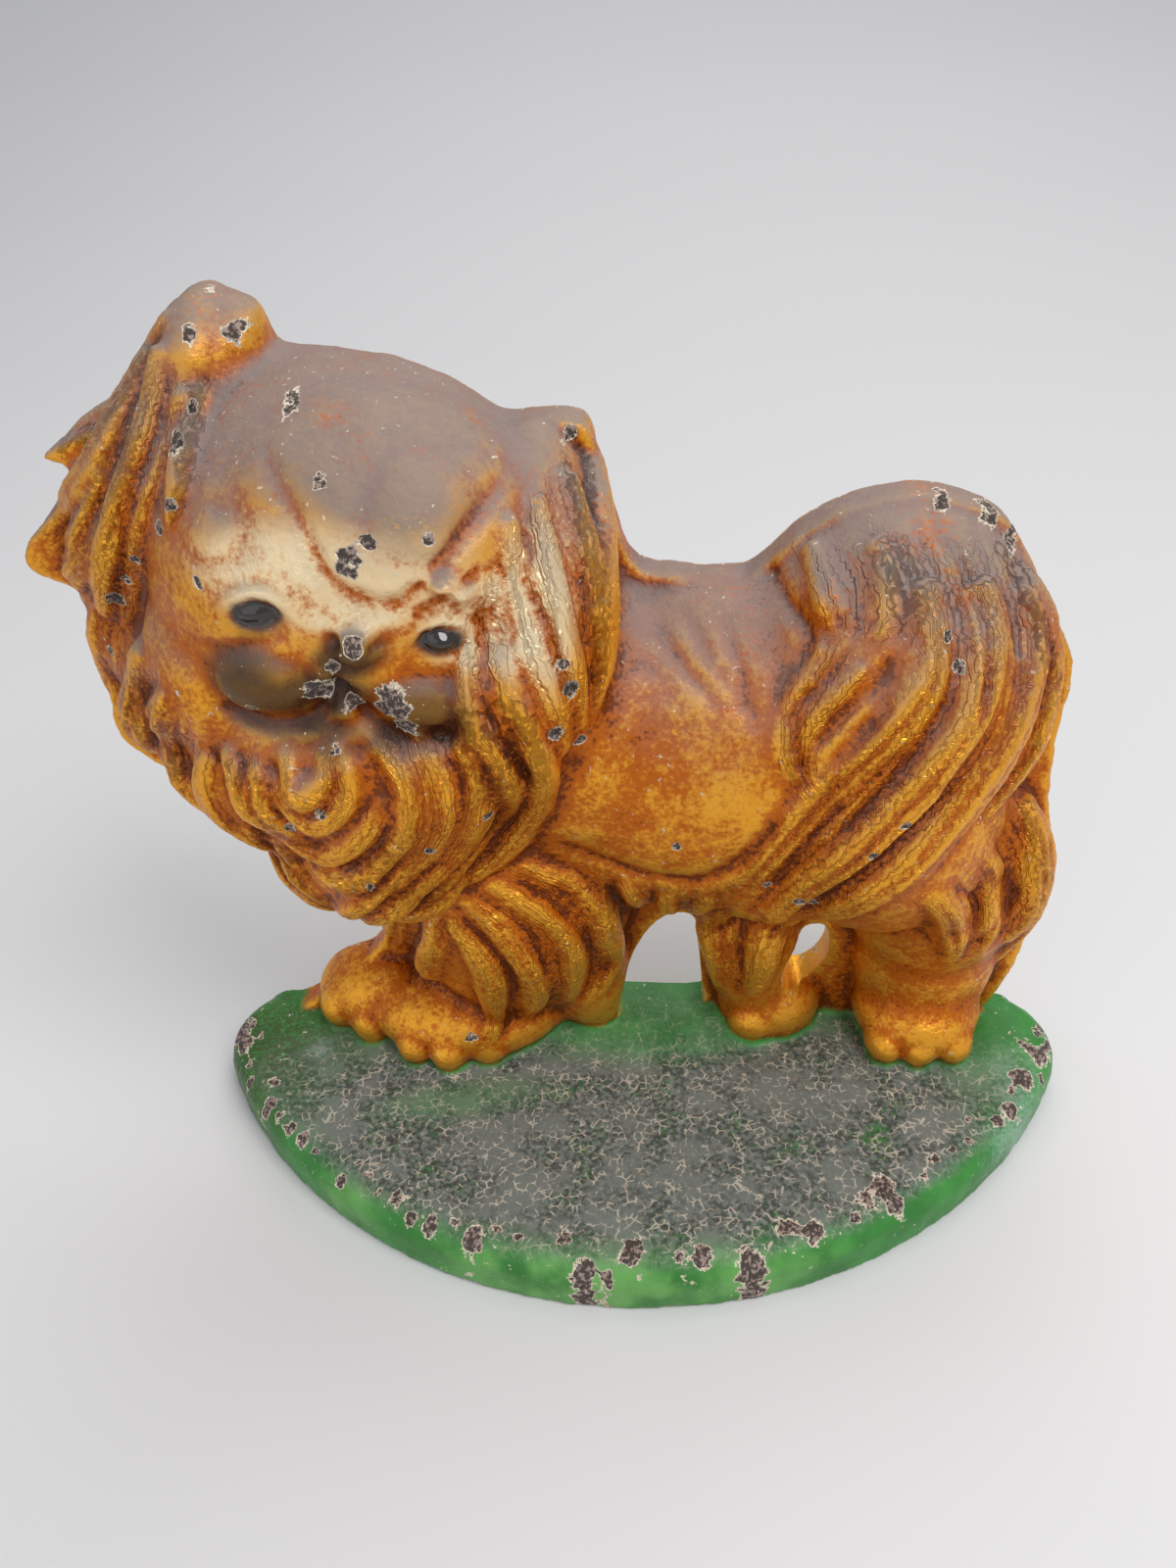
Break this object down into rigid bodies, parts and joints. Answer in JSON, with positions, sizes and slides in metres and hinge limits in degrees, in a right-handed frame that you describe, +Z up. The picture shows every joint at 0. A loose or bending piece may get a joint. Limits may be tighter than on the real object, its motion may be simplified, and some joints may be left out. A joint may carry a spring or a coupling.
{
  "type": "cast iron dog doorstop statue",
  "caption": "Flat-backed cast iron figure of a long-haired lap dog standing on a half-moon base, made to hold a door open by its weight.",
  "frame": {"origin": "on the surface it stands on, under the middle of the overall box", "axes": "+Z up, +Y towards the flat open back, -Y the carved front, +X towards the tail"},
  "size_m": [0.2124, 0.0764, 0.1817],
  "materials": {
    "painted_iron": "worn gloss paint, amber brown dog on a green base"
  },
  "bodies": {
    "root": {"dog_doorstop": "painted_iron"}
  },
  "joints": []
}
